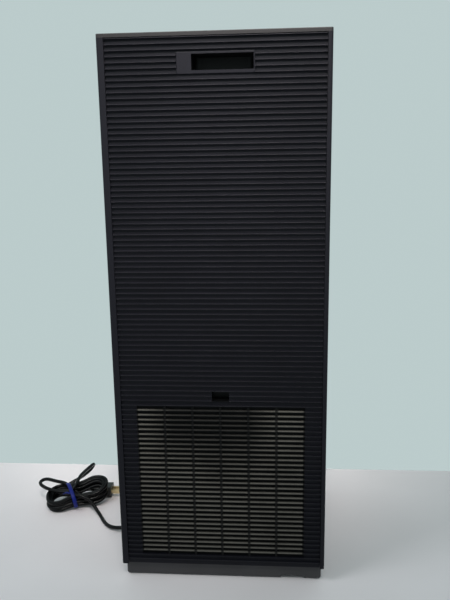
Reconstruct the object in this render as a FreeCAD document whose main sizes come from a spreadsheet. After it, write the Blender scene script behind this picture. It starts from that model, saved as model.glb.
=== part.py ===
import FreeCAD, Part
import Sketcher
import math
import os
from types import SimpleNamespace

from FreeCAD import Placement, Rotation, Vector

# Slim tower air purifier, in millimetres. The origin is the centre of the footprint on the floor,
# +Z is up, the room side faces -Y and the ribbed intake side faces +Y.

SIZES = {
    # outer body
    "bodyWidth": 270, "bodyDepth": 270, "totalHeight": 695, "shell": 2.6, "panelGap": 0.4,
    "rearCorner": 2.5, "frontCorner": 12, "frontWrap": 20, "topThickness": 4.5,
    # plinth and feet
    "plinthTop": 21, "plinthLift": 1, "plinthSideInset": 3.5, "plinthRearInset": 8.5,
    "plinthWall": 3, "notchHeight": 3.5, "footRadius": 9, "footHeight": 3,
    "footAcross": 112, "footAlong": 107, "floorThickness": 3,
    # ribbed rear face
    "ribPitch": 6.6, "firstRib": 6, "ribDepth": 3, "ribRoot": 1, "ribTip": 0.65,
    "borderRight": 8.5, "borderLeft": 5.5, "upperRibs": 67, "lowerRibs": 34, "seamDrop": 443.5,
    # intake window of the rear cover
    "windowRight": 107, "windowLeft": 108, "windowRows": 32, "bladeDepth": 8.5, "barWidth": 2.4,
    "barPitch": 35.7, "barSetBack": 2, "coverFlange": 10.4, "coverPegRadius": 1.6, "coverPegAcross": 123.5,
    # handle and finger recess
    "bezelRight": 43, "bezelLeft": 47.3, "bezelTop": 22, "bezelBottom": 46.5, "gripDepth": 33,
    "gripRight": 25.6, "gripTop": 24.5, "gripBottom": 42.4, "cupWall": 2,
    "recessRight": 9.7, "recessLeft": 12.2, "recessTop": 430, "recessBottom": 441.6,
    # air outlet in the top
    "outletHalf": 98, "outletFront": 22, "outletRear": 86, "flapGap": 0.7, "flapThickness": 3.2,
    "flapAxisY": 82, "flapAxisDrop": 2.2, "pinRadius": 1.2, "pinPlay": 0.05, "ductWall": 2,
    # buttons and display
    "buttonRadius": 7, "buttonY": 100, "buttonPitch": 40, "lensHalf": 60, "lensY": 78,
    # fan
    "fanHeight": 372, "impellerRadius": 90, "scrollGap": 11, "scrollStep": 6, "scrollWall": 2.5,
    "scrollFront": 30, "scrollRear": 48, "scrollSplit": 9, "scrollTop": 482, "tongueX": 30,
    "inletRadius": 74, "shaftRadius": 4, "bearingPlay": 0.05, "bearingRadius": 11,
    "motorRadius": 42, "motorFace": 36, "motorLength": 48, "bladeCount": 36,
    # filter chamber
    "cartridgeHalf": 113, "cartridgeLow": 36, "cartridgeHigh": 240, "cartridgeFront": 84,
    "cartridgeRear": 117, "cardWall": 3, "pleats": 36, "pleatSheet": 0.8, "chamberPlate": 2.5,
    "bulkheadY": 96,
    # mains cord
    "cordRadius": 2.8, "reliefLength": 21.5, "exitY": 26, "exitZ": 8.5, "tieWidth": 5,
}

# Centres of the mains lead between the strain relief and the tied hank.
CORD_ROUTE = [
    (156.0, 26.0, 8.5), (167.0, 25.2, 7.0), (178.0, 20.6, 4.9), (188.0, 12.2, 3.6),
    (195.8, 1.2, 3.0), (202.6, -10.6, 3.1), (208.9, -20.9, 3.6), (215.9, -28.5, 7.0),
]
# The hank's own frame: along its length, across it, and up.
HANK_CENTRE = Vector(252, -57.4, 0)
HANK_TURN = 20.0
# Sections of the wound cord: along, across, height of the centre, half width, half height.
HANK_SECTIONS = [
    (-57, 0, 18.0, 12, 9.0), (-52, 0, 19.0, 21, 14.0), (-42, 1, 19.4, 28, 18.0), (-24, 1, 19.5, 30, 19.0),
    (-6, 3, 19.5, 28, 19.0), (8, 5, 19.5, 25.5, 18.0), (13, 5, 19.5, 25.5, 18.0), (25, 7, 16.0, 28, 15.4),
    (40, 8, 14.0, 29, 13.4), (50, 8, 13.6, 23, 11.5), (56, 8, 13.0, 13, 7.0),
]
STRAY_LOOP = [(16, -8, 30), (34, -30, 31), (54, -42, 30), (57, -26, 24), (44, -6, 16)]
LOOP_END = [(5, -10, 28), (-13, -44, 31), (-32, -74, 33)]
PLUG = {"x": (203, 231), "y": (-98, -74), "z": (1.5, 19.5)}

doc = FreeCAD.newDocument("tower_air_purifier")
nodes = []


class Size:
    """A length together with the spreadsheet expression that it comes from."""

    def __init__(self, value, text=None):
        self.value = float(value)
        self.text = text or f"({self.value:.10g})"

    def with_number(self, sign, other, value):
        return Size(value, f"({self.text} {sign} {other.text})")

    def __add__(self, other):
        other = size(other)
        return self.with_number("+", other, self.value + other.value)

    def __sub__(self, other):
        other = size(other)
        return self.with_number("-", other, self.value - other.value)

    def __mul__(self, other):
        other = size(other)
        return self.with_number("*", other, self.value * other.value)

    def __truediv__(self, other):
        other = size(other)
        return self.with_number("/", other, self.value / other.value)

    def __radd__(self, other):
        return size(other) + self

    def __rsub__(self, other):
        return size(other) - self

    def __neg__(self):
        return size(0) - self


def size(value):
    return value if isinstance(value, Size) else Size(value)


SIDES = (Size(-1), Size(1))


def spreadsheet():
    sheet = doc.addObject("Spreadsheet::Sheet", "sizes")
    for row, (alias, value) in enumerate(SIZES.items(), 1):
        sheet.set(f"A{row}", alias)
        sheet.set(f"B{row}", str(value))
        sheet.setAlias(f"B{row}", alias)
    doc.recompute()
    return SimpleNamespace(**{a: Size(v, f"sizes.{a}") for a, v in SIZES.items()})


d = spreadsheet()
HALF_W, HALF_D = d.bodyWidth / 2, d.bodyDepth / 2
INNER_X = HALF_W - d.shell
PANEL_TOP = d.totalHeight - d.topThickness
RIB_RIGHT = HALF_W - d.borderRight - d.panelGap
RIB_LEFT = d.borderLeft + d.panelGap - HALF_W
SEAM_Z = d.totalHeight - d.seamDrop
WALL_OUT = HALF_D - d.ribDepth
WALL_IN = WALL_OUT - d.shell
TURNED = {
    "x": Rotation(Vector(0, 1, 0), 90),
    "y": Rotation(Vector(1, 0, 0), -90),
    "z": Rotation(),
}


# ---- small builders -------------------------------------------------------------------------

def bind(item, prop, value):
    item.setExpression(prop, size(value).text)


def box(label, x, y, z):
    """A block; x, y and z are (low, high) pairs."""
    block = doc.addObject("Part::Box", label)
    for side, axis, (low, high) in zip(("Length", "Width", "Height"), "xyz", (x, y, z)):
        bind(block, side, size(high) - low)
        bind(block, f"Placement.Base.{axis}", low)
    return block


def round_bar(label, kind, axis, along, centre):
    bar = doc.addObject(kind, label)
    bar.Placement = Placement(Vector(), TURNED[axis])
    bind(bar, "Height", size(along[1]) - along[0])
    start = list(centre)
    start.insert("xyz".index(axis), along[0])
    for name, value in zip("xyz", start):
        bind(bar, f"Placement.Base.{name}", value)
    return bar


def rod(label, axis, radius, along, centre):
    """A cylinder along x, y or z; centre holds the other two coordinates in their order."""
    bar = round_bar(label, "Part::Cylinder", axis, along, centre)
    bind(bar, "Radius", radius)
    return bar


def cone(label, axis, radii, along, centre):
    bar = round_bar(label, "Part::Cone", axis, along, centre)
    bind(bar, "Radius1", radii[0])
    bind(bar, "Radius2", radii[1])
    return bar


def tube(label, axis, outer, inner, along, centre):
    core = (size(along[0]) - 1, size(along[1]) + 1)
    return without(label, rod(f"{label}_outer", axis, outer, along, centre),
                   rod(f"{label}_core", axis, inner, core, centre))


def joined(label, *parts):
    if len(parts) == 1:
        return parts[0]
    fuse = doc.addObject("Part::MultiFuse", label)
    fuse.Shapes = list(parts)
    return fuse


def without(label, base, *tools):
    cut = doc.addObject("Part::Cut", label)
    cut.Base = base
    cut.Tool = joined(f"{label}_tools", *tools)
    return cut


def group(label, parts):
    """Loose solids that share one node."""
    bundle = doc.addObject("Part::Compound", label)
    bundle.Links = list(parts)
    return bundle


def rounded(label, base, radius, wanted):
    doc.recompute()
    fillet = doc.addObject("Part::Fillet", label)
    fillet.Base = base
    edges = [n for n, edge in enumerate(base.Shape.Edges, 1) if wanted(edge)]
    fillet.Edges = [(n, size(radius).value, size(radius).value) for n in edges]
    return fillet


def runs_along(edge, axis):
    ends = edge.Vertexes[0].Point - edge.Vertexes[-1].Point
    return len(edge.Vertexes) == 2 and abs(abs(ends.dot(axis)) - ends.Length) < 1e-6


def sketch_on(body, plane, low, high):
    """A sketch on a body's own origin plane, from which a pad fills low to high."""
    sketch = body.newObject("Sketcher::SketchObject", f"{body.Name}_sketch")
    planes = {p.Role: p for p in body.Origin.OriginFeatures}
    sketch.AttachmentSupport = [(planes[f"{plane}_Plane"], "")]
    sketch.MapMode = "FlatFace"
    offset = -size(high) if plane == "XZ" else size(low)
    sketch.AttachmentOffset = Placement(Vector(0, 0, offset.value), Rotation())
    sketch.setExpression("AttachmentOffset.Base.z", offset.text)
    return sketch


def outline(sketch, points):
    """A closed polygon whose every corner is held by the sheet's sizes."""
    corners = [(size(x), size(y)) for x, y in points]
    places = [Vector(x.value, y.value, 0) for x, y in corners]
    first = sketch.GeometryCount
    for n, place in enumerate(places):
        sketch.addGeometry(Part.LineSegment(place, places[(n + 1) % len(places)]), False)
    for n, corner in enumerate(corners):
        line, follower = first + n, first + (n + 1) % len(corners)
        sketch.addConstraint(Sketcher.Constraint("Coincident", line, 2, follower, 1))
        for kind, axis, value in zip(("DistanceX", "DistanceY"), (-2, -1), corner):
            if value.value == 0:
                sketch.addConstraint(Sketcher.Constraint("PointOnObject", line, 1, axis))
                continue
            held = Sketcher.Constraint(kind, -1, 1, line, 1, value.value)
            sketch.setExpression(f"Constraints[{sketch.addConstraint(held)}]", value.text)


def free_outline(sketch, pieces):
    """Closed loops of lines and three-point arcs, each piece a list of two or three points."""
    for piece in pieces:
        points = [Vector(size(x).value, size(y).value, 0) for x, y in piece]
        edge = Part.LineSegment(*points) if len(points) == 2 else Part.Arc(*points)
        sketch.addGeometry(edge, False)


def pad(body, sketch, low, high):
    feature = body.newObject("PartDesign::Pad", f"{body.Name}_pad")
    feature.Profile = sketch
    feature.Type = "Length"
    bind(feature, "Length", size(high) - low)
    sketch.Visibility = False
    return feature


def new_body(label):
    return doc.addObject("PartDesign::Body", label)


def revolved(label, points):
    """A solid of revolution about its own Z; points are (radius, height)."""
    body = new_body(label)
    sketch = sketch_on(body, "XZ", 0, 0)
    outline(sketch, points)
    turn = body.newObject("PartDesign::Revolution", f"{label}_turn")
    turn.Profile = sketch
    turn.ReferenceAxis = (sketch, ["V_Axis"])
    turn.Angle = 360
    return body


def placed(item, axis, base):
    item.Placement = Placement(Vector(*(size(v).value for v in base)), TURNED[axis])
    for name, value in zip("xyz", base):
        bind(item, f"Placement.Base.{name}", value)
    return item


def node(item, label):
    """Names a finished sub-part; its label names its file."""
    item.Label = label
    nodes.append(item)
    return item


# ---- plinth, feet and floor -----------------------------------------------------------------

def foot_places():
    return [(sx * d.footAcross, sy * d.footAlong) for sx in SIDES for sy in SIDES]


def base_plinth():
    x, y = HALF_W - d.plinthSideInset, HALF_D - d.plinthRearInset
    solid = box("plinth_block", (-x, x), (-y, y), (d.plinthLift, d.plinthTop))
    solid = rounded("plinth_rounded", solid, 4, lambda e: runs_along(e, Vector(0, 0, 1)))
    solid = rounded("plinth_eased", solid, 1.5, lambda e: e.BoundBox.ZMax < SIZES["plinthLift"] + 0.1)
    inside = box("plinth_inside", (d.plinthWall - x, x - d.plinthWall), (d.plinthWall - y, y - d.plinthWall),
                 (0, d.plinthTop - d.plinthWall))
    notch = box("plinth_notch", (-108.5, -78), (y - 8, y + 1), (0, d.plinthLift + d.notchHeight))
    notch = rounded("plinth_notch_arch", notch, 2.5, arch_edges)
    exit_hole = rod("plinth_exit", "x", 4.5, (x - 5, x + 1), (d.exitY, d.exitZ))
    holes = [rod(f"plinth_screw_hole_{n}", "z", 2, (d.plinthTop - 5, d.plinthTop + 1), place)
             for n, place in enumerate(screw_places())]
    shell = without("plinth_shell", solid, inside, notch, exit_hole, *holes)
    bosses = [rod(f"plinth_boss_{n}", "z", 12, (d.footHeight, d.plinthTop - 1), place)
              for n, place in enumerate(foot_places())]
    node(joined("plinth", shell, *bosses), "base_plinth")


def arch_edges(edge):
    return runs_along(edge, Vector(0, 1, 0)) and edge.BoundBox.ZMin > 1


def screw_places():
    return [(x, y) for x in (-95, 95) for y in (-88, 88)]


def foot_pads():
    pads = [rod(f"foot_{n}", "z", d.footRadius, (0, d.footHeight), place)
            for n, place in enumerate(foot_places())]
    node(group("feet", pads), "foot_pads")


def floor_pan():
    top = d.plinthTop + d.floorThickness
    plate = box("floor_plate", (-INNER_X, INNER_X), (d.shell - HALF_D, 118.4), (d.plinthTop, top))
    plate = rounded("floor_corners", plate, d.frontCorner - d.shell,
                    lambda e: runs_along(e, Vector(0, 0, 1)) and e.BoundBox.YMax < 0)
    rims = [box(f"floor_rim_{n}", x, (-92, 76), (top - 1, top + 8))
            for n, x in enumerate(((-INNER_X, 2 - INNER_X), (INNER_X - 2, INNER_X)))]
    holes = [rod(f"floor_screw_hole_{n}", "z", 2, (d.plinthTop - 1, top + 1), place)
             for n, place in enumerate(screw_places())]
    bosses = [tube(f"floor_boss_{n}", "z", 5, 2, (top - 0.5, top + 6), place)
              for n, place in enumerate(screw_places()) if place[1] < 0]
    node(joined("floor", without("floor_body", plate, *holes), *rims, *bosses), "floor_pan")


def plinth_screws():
    low = d.plinthTop - d.plinthWall
    screws = [joined(f"plinth_screw_{n}", rod(f"plinth_shank_{n}", "z", 2, (low - 0.5, low + 6), place),
                     rod(f"plinth_head_{n}", "z", 3.8, (low - 2.4, low), place))
              for n, place in enumerate(screw_places())]
    node(group("plinth_screw_set", screws), "plinth_screws")


# ---- outer panels ---------------------------------------------------------------------------

def side_panel(label, side, border, slots=()):
    """A wall that wraps round the rear corner and ends in a plain border beside the ribs."""
    x, y, r = HALF_W.value, HALF_D.value, d.rearCorner.value
    t, front = d.shell.value, -(HALF_D - d.frontWrap).value + d.panelGap.value
    k = r * (1 - math.sqrt(0.5))
    loop = [
        [(x, front), (x, y - r)],
        [(x, y - r), (x - k, y - k), (x - r, y)],
        [(x - r, y), (x - border.value, y)],
        [(x - border.value, y), (x - border.value, y - t)],
        [(x - border.value, y - t), (x - t, y - t)],
        [(x - t, y - t), (x - t, front)],
        [(x - t, front), (x, front)],
    ]
    body = new_body(f"{label}_body")
    sketch = sketch_on(body, "XY", d.plinthTop, PANEL_TOP)
    free_outline(sketch, [[(side * px, py) for px, py in piece] for piece in loop])
    pad(body, sketch, d.plinthTop, PANEL_TOP)
    across = sorted_pair(side * (x - t - 4), side * (x - t + 0.5))
    ribs = [box(f"{label}_stiffener_{n}", across, (y0, y0 + 2), (270, 650))
            for n, y0 in enumerate((-72, 0, 64))]
    item = joined(f"{label}_ribbed", body, *ribs)
    if slots:
        item = without(f"{label}_slotted", item, *slots)
    node(item, label)


def sorted_pair(a, b):
    return (a, b) if a < b else (b, a)


def side_panels():
    slots = [box(f"sensor_slot_{n}", (INNER_X - 1, HALF_W + 1), (-58, -34), (594 + 4.4 * n, 596 + 4.4 * n))
             for n in range(6)]
    side_panel("side_panel_right", 1, d.borderRight, slots)
    side_panel("side_panel_left", -1, d.borderLeft)


def front_panel():
    x, y, r, t = HALF_W.value, -HALF_D.value, d.frontCorner.value, d.shell.value
    back = y + d.frontWrap.value
    k, q = r * (1 - math.sqrt(0.5)), (r - t) * (1 - math.sqrt(0.5))
    outer = [
        [(-x, back), (-x, y + r)],
        [(-x, y + r), (-x + k, y + k), (-x + r, y)],
        [(-x + r, y), (x - r, y)],
        [(x - r, y), (x - k, y + k), (x, y + r)],
        [(x, y + r), (x, back)],
        [(x, back), (x - t, back)],
    ]
    inner = [
        [(x - t, back), (x - t, y + r)],
        [(x - t, y + r), (x - t - q, y + t + q), (x - r, y + t)],
        [(x - r, y + t), (-x + r, y + t)],
        [(-x + r, y + t), (-x + t + q, y + t + q), (-x + t, y + r)],
        [(-x + t, y + r), (-x + t, back)],
        [(-x + t, back), (-x, back)],
    ]
    body = new_body("front_body")
    sketch = sketch_on(body, "XY", d.plinthTop, PANEL_TOP)
    free_outline(sketch, outer + inner)
    pad(body, sketch, d.plinthTop, PANEL_TOP)
    groove = box("front_groove", (-140, 140), (-136, 0.8 - HALF_D), (250.3, 251.7))
    node(without("front_cut", body, groove), "front_panel")


def rib_comb(label, first, count, low, high):
    """A wall with thin horizontal ribs that have rounded tips, as one extrusion across the body."""
    body = new_body(label)
    sketch = sketch_on(body, "YZ", RIB_LEFT, RIB_RIGHT)
    wall_in, wall_out, tip = WALL_IN.value, WALL_OUT.value, HALF_D.value
    root, nose = d.ribRoot.value, d.ribTip.value
    pieces, at = [], (wall_out, high)
    for n in range(first, first + count):
        z = rib_height(n).value
        up, down = (tip - nose, z + nose), (tip - nose, z - nose)
        pieces += [[at, (wall_out, z + root)], [(wall_out, z + root), up], [up, (tip, z), down],
                   [down, (wall_out, z - root)]]
        at = (wall_out, z - root)
    pieces += [[at, (wall_out, low)], [(wall_out, low), (wall_in, low)],
               [(wall_in, low), (wall_in, high)], [(wall_in, high), (wall_out, high)]]
    free_outline(sketch, pieces)
    pad(body, sketch, RIB_LEFT, RIB_RIGHT)
    return body


def rib_height(n):
    return d.totalHeight - d.firstRib - d.ribPitch * n


def rear_panel():
    low, top = SEAM_Z + d.panelGap / 2, d.totalHeight
    comb = rib_comb("rear_comb", 0, SIZES["upperRibs"], low.value, PANEL_TOP.value)
    wings = box("rear_wings", (-INNER_X, INNER_X), (WALL_IN, WALL_OUT), (low, PANEL_TOP))
    flange = box("rear_flange", (-INNER_X, INNER_X), (112, WALL_IN + 0.5), (low + 0.2, low + 2.7))
    cup = box("recess_cup", (-d.recessLeft - 2, d.recessRight + 2), (117, WALL_IN + 0.5),
              (low + 0.2, top - d.recessTop + 2))
    grip_hole = box("bezel_hole", (-d.bezelLeft - 0.2, d.bezelRight + 0.2), (WALL_IN - 2, HALF_D + 1),
                    (top - d.bezelBottom - 0.2, top - d.bezelTop + 0.2))
    recess = box("recess_hollow", (-d.recessLeft, d.recessRight), (119, HALF_D + 1),
                 (top - d.recessBottom, top - d.recessTop))
    solid = joined("rear_solid", comb, wings, flange, cup)
    node(without("rear_cut", solid, grip_hole, recess), "rear_panel")


def handle_cup():
    top = d.totalHeight
    rear = HALF_D - 0.6
    bezel = box("bezel", (-d.bezelLeft, d.bezelRight), (WALL_IN + 1.5, rear),
                (top - d.bezelBottom, top - d.bezelTop))
    bezel = rounded("bezel_eased", bezel, 0.8, lambda e: e.BoundBox.YMin > rear.value - 0.1)
    cup = box("cup_outer", (-d.bezelLeft, d.gripRight + d.cupWall),
              (rear - d.gripDepth - d.cupWall, rear - 1),
              (top - d.gripBottom - d.cupWall, top - d.gripTop + d.cupWall))
    lip = box("cup_lip", (-d.bezelLeft - 4, d.bezelRight + 4), (WALL_IN - 2.2, WALL_IN),
              (top - d.bezelBottom - 4, top - d.bezelTop + 4))
    neck = box("cup_neck", (-d.bezelLeft, d.bezelRight), (WALL_IN - 2.2, WALL_IN + 2),
               (top - d.bezelBottom, top - d.bezelTop))
    grip = box("cup_inner", (1.5 - d.bezelLeft, d.gripRight), (rear - d.gripDepth, rear + 5),
               (top - d.gripBottom, top - d.gripTop))
    grip = rounded("cup_inner_round", grip, 8,
                   lambda e: runs_along(e, Vector(0, 0, 1)) and e.BoundBox.YMax < rear.value - 20)
    node(without("cup_cut", joined("cup_solid", bezel, neck, lip, cup), grip), "handle_cup")


def top_cover():
    low, high = d.totalHeight - d.topThickness, d.totalHeight
    plate = box("top_plate", (-HALF_W, HALF_W), (-HALF_D, HALF_D), (low, high))
    upright = Vector(0, 0, 1)
    plate = rounded("top_front_corners", plate, d.frontCorner,
                    lambda e: runs_along(e, upright) and e.BoundBox.YMax < 0)
    plate = rounded("top_rear_corners", plate, d.rearCorner,
                    lambda e: runs_along(e, upright) and e.BoundBox.YMin > 130)
    plate = rounded("top_eased", plate, 0.9, lambda e: e.BoundBox.ZMin > high.value - 0.1)
    skirt = without("top_skirt", box("skirt_block", (-130, 130), (-127, 127), (low - 6.5, low + 0.5)),
                    box("skirt_inside", (-128, 128), (-125, 125), (low - 8, low)))
    posts = [rod(f"board_post_{n}", "z", 3, (low - 12.9, low + 0.5), place)
             for n, place in enumerate(board_places())]
    outlet = box("outlet_opening", (-d.outletHalf, d.outletHalf), (-d.outletFront, d.outletRear),
                 (low - 1, high + 1))
    notch = box("flap_notch", (-13, 13), (-d.outletFront - 6.5, 1 - d.outletFront), (low - 1, high + 1))
    slot = box("lens_slot", (-d.lensHalf, d.lensHalf), (-d.lensY - 2, 2 - d.lensY), (low - 1, high + 1))
    bores = rod("flap_bores", "x", d.pinRadius + d.pinPlay, (-d.outletHalf - 4, d.outletHalf + 4),
                (d.flapAxisY, high - d.flapAxisDrop))
    buttons = [rod(f"button_hole_{n}", "z", d.buttonRadius + 0.4, (low - 1, high + 1), (x, -d.buttonY))
               for n, x in enumerate(button_places())]
    screws = [rod(f"post_hole_{n}", "z", 1.25, (low - 14, low - 4), place)
              for n, place in enumerate(board_places())]
    solid = joined("top_solid", plate, skirt, *posts)
    node(without("top_cut", solid, outlet, notch, slot, bores, *buttons, *screws), "top_cover")


def board_places():
    return [(x, y) for x in (-88, 88) for y in (-114, -82)]


def button_places():
    return [d.buttonPitch * k for k in (-1.5, -0.5, 0.5, 1.5)]


def indicator_lens():
    lens = box("lens_bar", (-d.lensHalf, d.lensHalf), (-d.lensY - 2, 2 - d.lensY),
               (d.totalHeight - d.topThickness, d.totalHeight - 0.1))
    lip = box("lens_lip", (-d.lensHalf - 1.5, d.lensHalf + 1.5), (-d.lensY - 3.4, 3.4 - d.lensY),
              (d.totalHeight - d.topThickness - 1.5, d.totalHeight - d.topThickness))
    node(joined("lens", lens, lip), "indicator_lens")


# ---- rear cover with its pre-filter ---------------------------------------------------------

def rear_cover():
    low, high = d.plinthTop + 0.3, SEAM_Z - d.panelGap / 2
    first = SIZES["upperRibs"]
    comb = rib_comb("cover_comb", first, SIZES["lowerRibs"], low.value, high.value)
    window_low, window_high = rib_height(first + SIZES["windowRows"]) + 0.4, rib_height(first) - 0.4
    window = box("cover_window", (-d.windowLeft, d.windowRight), (WALL_IN - 1, HALF_D + 1),
                 (window_low, window_high))
    rim_block = box("cover_rim_block", (RIB_LEFT + 1.5, RIB_RIGHT - 1.5),
                    (WALL_IN - d.coverFlange, WALL_IN + 0.5), (low, high - 0.2))
    rim_inside = box("cover_rim_inside", (RIB_LEFT + 3.5, RIB_RIGHT - 3.5), (WALL_IN - 20, WALL_IN),
                     (low + 2, high - 2.2))
    blades = [blade(n) for n in range(first + 1, first + SIZES["windowRows"])]
    middle = (d.windowRight - d.windowLeft) / 2
    bars = [box(f"cover_bar_{k}", (x - d.barWidth / 2, x + d.barWidth / 2),
                (HALF_D - d.bladeDepth - 2.5, HALF_D - d.barSetBack), (window_low - 0.4, window_high + 0.4))
            for k, x in ((k, middle + d.barPitch * k) for k in range(-2, 3))]
    ties = [box(f"cover_tie_{n}", (-d.windowLeft - 2, d.windowRight + 2),
                (HALF_D - d.bladeDepth - 2.5, WALL_IN + 0.5), z)
            for n, z in enumerate(((window_low - 2, window_low), (window_high, window_high + 2)))]
    pegs = [rod(f"cover_peg_{n}", "y", d.coverPegRadius, (104, WALL_IN + 0.5), place)
            for n, place in enumerate(peg_places())]
    frame = without("cover_frame", comb, window)
    rim = without("cover_rim", rim_block, rim_inside)
    node(joined("cover", frame, rim, *blades, *bars, *ties, *pegs), "rear_cover")


def blade(n):
    """One intake blade: a thin front nose that thickens towards the pre-filter."""
    z, tip, deep = rib_height(n).value, HALF_D.value - 0.2, (HALF_D - d.bladeDepth).value
    nose = d.ribTip.value + 0.25
    body = new_body(f"blade_{n}")
    sketch = sketch_on(body, "YZ", -d.windowLeft, d.windowRight)
    up, down = (tip - nose, z + nose), (tip - nose, z - nose)
    free_outline(sketch, [[(deep, z + 0.8), up], [up, (tip, z), down], [down, (deep, z - 0.9)],
                          [(deep, z - 0.9), (deep, z + 0.8)]])
    pad(body, sketch, -d.windowLeft, d.windowRight)
    return body


def peg_places():
    return [(side * d.coverPegAcross, z) for side in SIDES for z in (60, 225)]


def pre_filter():
    x0, x1, z0, z1 = -112.5, 111.5, 29, 247
    y0, y1 = 120.6, 124
    frame = without("pre_frame_ring", box("pre_frame_block", (x0, x1), (y0, y1), (z0, z1)),
                    box("pre_frame_inside", (x0 + 5, x1 - 5), (y0 - 1, y1 + 1), (z0 + 5, z1 - 5)))
    columns = [box(f"pre_column_{n}", (x - 1, x + 1), (y0, y0 + 2), (z0 + 4, z1 - 4))
               for n, x in enumerate((-38, 37))]
    rows = [box(f"pre_row_{n}", (x0 + 4, x1 - 4), (y0, y0 + 2), (z - 1, z + 1))
            for n, z in enumerate((84, 138, 192))]
    node(joined("pre_frame", frame, *columns, *rows), "pre_filter_frame")
    node(box("pre_mesh", (x0 + 1, x1 - 1), (y0 - 0.8, y0), (z0 + 1, z1 - 1)), "pre_filter_mesh")


# ---- filter chamber -------------------------------------------------------------------------

def filter_housing():
    plate_rear = size(78) + d.chamberPlate
    plate = box("chamber_plate", (-INNER_X, INNER_X), (78, plate_rear), (24, 252))
    ring = without("chamber_ring", box("chamber_block", (-119, 119), (plate_rear - 0.5, 118), (30, 246)),
                   box("chamber_inside", (-116.6, 116.6), (plate_rear - 1, 119), (32.4, 243.6)))
    deck = box("chamber_deck", (-INNER_X, INNER_X), (plate_rear - 0.5, 118.5), (249.2, 251.7))
    opening = box("chamber_opening", (-105, 105), (77, plate_rear + 1), (44, 232))
    node(without("chamber_cut", joined("chamber_solid", plate, ring, deck), opening), "filter_housing")


def filter_gasket():
    low, high = d.cartridgeLow, d.cartridgeHigh
    front = size(78) + d.chamberPlate
    node(without("gasket_cut", box("gasket_block", (2 - d.cartridgeHalf, d.cartridgeHalf - 2),
                                   (front, d.cartridgeFront - 0.1), (low + 2, high - 2)),
                 box("gasket_inside", (-106.5, 106.5), (77, 90), (low + 8, high - 8))), "filter_gasket")


def cover_sockets():
    sockets = [tube(f"socket_{n}", "y", 4, d.coverPegRadius + 0.3, (size(78) + d.chamberPlate, 112), place)
               for n, place in enumerate(peg_places())]
    node(group("socket_set", sockets), "cover_sockets")


def cartridge_inside():
    return (d.cardWall - d.cartridgeHalf, d.cartridgeHalf - d.cardWall), \
           (d.cartridgeLow + d.cardWall, d.cartridgeHigh - d.cardWall)


def hepa_frame():
    x, z = cartridge_inside()
    block = box("card_block", (-d.cartridgeHalf, d.cartridgeHalf), (d.cartridgeFront, d.cartridgeRear),
                (d.cartridgeLow, d.cartridgeHigh))
    hollow = box("card_hollow", x, (d.cartridgeFront - 1, d.cartridgeRear + 1), z)
    node(without("card_cut", block, hollow), "hepa_frame")


def hepa_pleats():
    """A zigzag sheet whose folds run up and down."""
    x, z = cartridge_inside()
    near, far, sheet = 94.0, 113.5, d.pleatSheet.value
    step = (x[1].value - x[0].value - 1) / SIZES["pleats"]
    folds = [(x[0].value + 0.5 + step * n, far if n % 2 else near) for n in range(SIZES["pleats"] + 1)]
    front = [(px, py) for px, py in folds]
    back = [(px, py + sheet * 3.5) for px, py in reversed(folds)]
    ring = front + back
    body = new_body("pleat_body")
    sketch = sketch_on(body, "XY", z[0], z[1])
    free_outline(sketch, [[a, b] for a, b in zip(ring, ring[1:] + ring[:1])])
    pad(body, sketch, z[0], z[1])
    node(body, "hepa_pleats")


def carbon_sheet():
    x, z = cartridge_inside()
    node(box("carbon_block", x, (d.cartridgeFront + 1, d.cartridgeFront + 7), z), "carbon_sheet")


def filter_tabs():
    tabs = [box(f"tab_{n}", (x - 10, x + 10), (d.cartridgeRear, d.cartridgeRear + 1), (196, 238))
            for n, x in enumerate((-60, 60))]
    node(group("tab_pair", tabs), "filter_tabs")


# ---- fan ------------------------------------------------------------------------------------

def pie(label, radius, span, centre, start, sweep=90):
    """A slice of a disc whose axis lies along Y, opening anticlockwise in X and Z from start."""
    slice_ = doc.addObject("Part::Cylinder", label)
    turn = Rotation(Vector(1, 0, 0), 90).multiply(Rotation(Vector(0, 0, 1), start))
    slice_.Placement = Placement(Vector(), turn)
    slice_.Angle = sweep
    bind(slice_, "Radius", radius)
    bind(slice_, "Height", size(span[1]) - span[0])
    for name, value in zip("xyz", (centre[0], span[1], centre[1])):
        bind(slice_, f"Placement.Base.{name}", value)
    return slice_


def scroll_volume(label, grow, span, top):
    """The spiral that opens upwards: three growing quarter discs and the outlet neck."""
    r, step, z = d.impellerRadius + d.scrollGap + grow, d.scrollStep, d.fanHeight
    left = r + step * 2 + step
    quarters = [
        pie(f"{label}_quarter_a", r, span, (0, z), 0),
        pie(f"{label}_quarter_b", r + step, span, (-step, z), 270),
        pie(f"{label}_quarter_c", r + step * 2, span, (-step, z + step), 180),
    ]
    neck = box(f"{label}_neck", (-left, d.tongueX + grow), span, (z + step, top))
    middle = box(f"{label}_middle", (-60, 20), span, (z - 20, z + 20))
    return joined(label, *quarters, neck, middle)


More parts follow.
